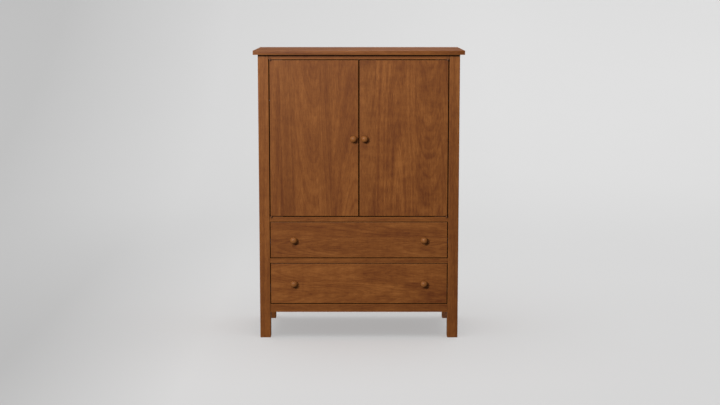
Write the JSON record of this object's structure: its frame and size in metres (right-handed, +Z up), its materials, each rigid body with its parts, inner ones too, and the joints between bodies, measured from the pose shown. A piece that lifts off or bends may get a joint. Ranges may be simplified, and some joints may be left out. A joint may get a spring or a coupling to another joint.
{
  "type": "tv armoire",
  "caption": "Wooden armoire on square post legs: a pair of inset doors over a television bay, drawers below, overhanging top slab and round knobs.",
  "frame": {"origin": "on the floor, under the middle of the whole armoire's box, knobs and top slab included", "axes": "+Z up, the front with its doors and drawers faces -Y, +X to the right of someone who faces the front"},
  "size_m": [1.066, 0.554, 1.478],
  "materials": {
    "slab_wood": "satin lacquer",
    "post_wood": "satin lacquer",
    "rail_wood": "satin lacquer",
    "side_wood": "satin lacquer",
    "door_wood": "satin lacquer",
    "drawer_wood": "satin lacquer",
    "inner_wood": "satin lacquer",
    "thin_panel": "thin plywood, lacquered",
    "box_wood": "clear satin lacquer",
    "box_bottom_ply": "clear satin lacquer",
    "knob_wood": "satin lacquer",
    "hinge_brass": "satin",
    "bright_steel": "zinc plated",
    "slide_steel": "zinc plated",
    "catch_plastic": "moulded",
    "grommet_plastic": "moulded"
  },
  "bodies": {
    "case": {"top_slab": "slab_wood", "front_left_post": "post_wood", "front_right_post": "post_wood", "rear_left_post": "post_wood", "rear_right_post": "post_wood", "left_side_panel": "side_wood", "right_side_panel": "side_wood", "left_side_rails": "side_wood", "right_side_rails": "side_wood", "top_front_rail": "rail_wood", "top_rear_rail": "rail_wood", "door_rail": "rail_wood", "drawer_rail": "rail_wood", "front_apron": "rail_wood", "bottom_rear_rail": "rail_wood", "tv_deck": "inner_wood", "dust_panel": "thin_panel", "upper_back_panel": "thin_panel", "lower_back_panel": "thin_panel", "cable_grommets": "grommet_plastic", "side_cleats": "inner_wood", "adjustable_shelf": "inner_wood", "shelf_pins": "bright_steel", "hinge_case_leaves": "hinge_brass", "hinge_pins": "bright_steel", "magnetic_catch": "catch_plastic", "upper_slide_case_members": "slide_steel", "lower_slide_case_members": "slide_steel"},
    "left_door_leaf": {"left_door": "door_wood", "left_door_battens": "door_wood", "left_door_knob": "knob_wood", "left_door_knob_bolt": "bright_steel", "left_door_leaves": "hinge_brass", "left_strike_plate": "bright_steel"},
    "right_door_leaf": {"right_door": "door_wood", "right_door_battens": "door_wood", "right_door_knob": "knob_wood", "right_door_knob_bolt": "bright_steel", "right_door_leaves": "hinge_brass", "right_strike_plate": "bright_steel"},
    "upper_drawer": {"upper_drawer_front": "drawer_wood", "upper_box_front": "box_wood", "upper_box_sides": "box_wood", "upper_box_back": "box_wood", "upper_box_bottom": "box_bottom_ply", "upper_drawer_knobs": "knob_wood", "upper_drawer_knob_bolts": "bright_steel", "upper_slide_drawer_members": "slide_steel"},
    "upper_slide_middle": {"upper_slide_middle_members": "slide_steel", "upper_slide_ball_cages": "slide_steel"},
    "lower_drawer": {"lower_drawer_front": "drawer_wood", "lower_box_front": "box_wood", "lower_box_sides": "box_wood", "lower_box_back": "box_wood", "lower_box_bottom": "box_bottom_ply", "lower_drawer_knobs": "knob_wood", "lower_drawer_knob_bolts": "bright_steel", "lower_slide_drawer_members": "slide_steel"},
    "lower_slide_middle": {"lower_slide_middle_members": "slide_steel", "lower_slide_ball_cages": "slide_steel"}
  },
  "joints": [
    {"name": "left_door_hinge", "type": "hinge", "parent": "case", "child": "left_door_leaf", "pos_m": [-0.448, -0.251, 1.03], "axis": [0, 0, -1], "range_deg": [0, 170]},
    {"name": "right_door_hinge", "type": "hinge", "parent": "case", "child": "right_door_leaf", "pos_m": [0.448, -0.251, 1.03], "axis": [0, 0, 1], "range_deg": [0, 170]},
    {"name": "upper_drawer_slide", "type": "slide", "parent": "case", "child": "upper_drawer", "axis": [0, -1, 0], "range_m": [0, 0.446]},
    {"name": "lower_drawer_slide", "type": "slide", "parent": "case", "child": "lower_drawer", "axis": [0, -1, 0], "range_m": [0, 0.446]},
    {"name": "upper_middle_slide", "type": "slide", "parent": "case", "child": "upper_slide_middle", "axis": [0, -1, 0], "range_m": [0, 0.223]},
    {"name": "lower_middle_slide", "type": "slide", "parent": "case", "child": "lower_slide_middle", "axis": [0, -1, 0], "range_m": [0, 0.223]}
  ],
  "couplings": [
    {"joint": "upper_middle_slide", "follows": "upper_drawer_slide", "ratio": 0.5},
    {"joint": "lower_middle_slide", "follows": "lower_drawer_slide", "ratio": 0.5}
  ]
}
